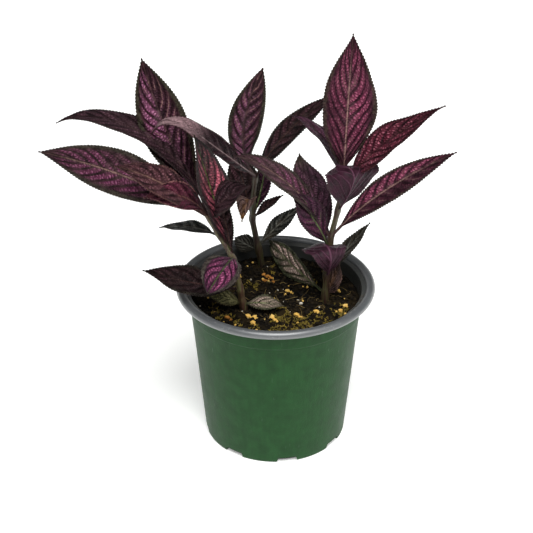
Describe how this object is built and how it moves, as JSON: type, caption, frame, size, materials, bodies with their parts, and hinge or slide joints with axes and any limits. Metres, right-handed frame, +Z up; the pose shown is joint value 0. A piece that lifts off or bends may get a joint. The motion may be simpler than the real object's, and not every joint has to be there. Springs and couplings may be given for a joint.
{
  "type": "potted persian shield plant",
  "caption": "A young bushy foliage plant with long purple, ribbed, toothed leaves on upright stems, growing in soil in a round nursery pot with a rolled rim.",
  "frame": {"origin": "the middle of the flat underside of the pot", "axes": "+Z up along the pot's axis, +X to the right and +Y away from a viewer who stands where the picture was taken"},
  "size_m": [0.3144, 0.165, 0.3448],
  "materials": {
    "pot": "satin",
    "soil": "matte",
    "foliage": "satin"
  },
  "bodies": {
    "root": {"pot": "pot", "soil": "soil", "stem_left": "foliage", "stem_middle": "foliage", "stem_right": "foliage"}
  },
  "joints": []
}
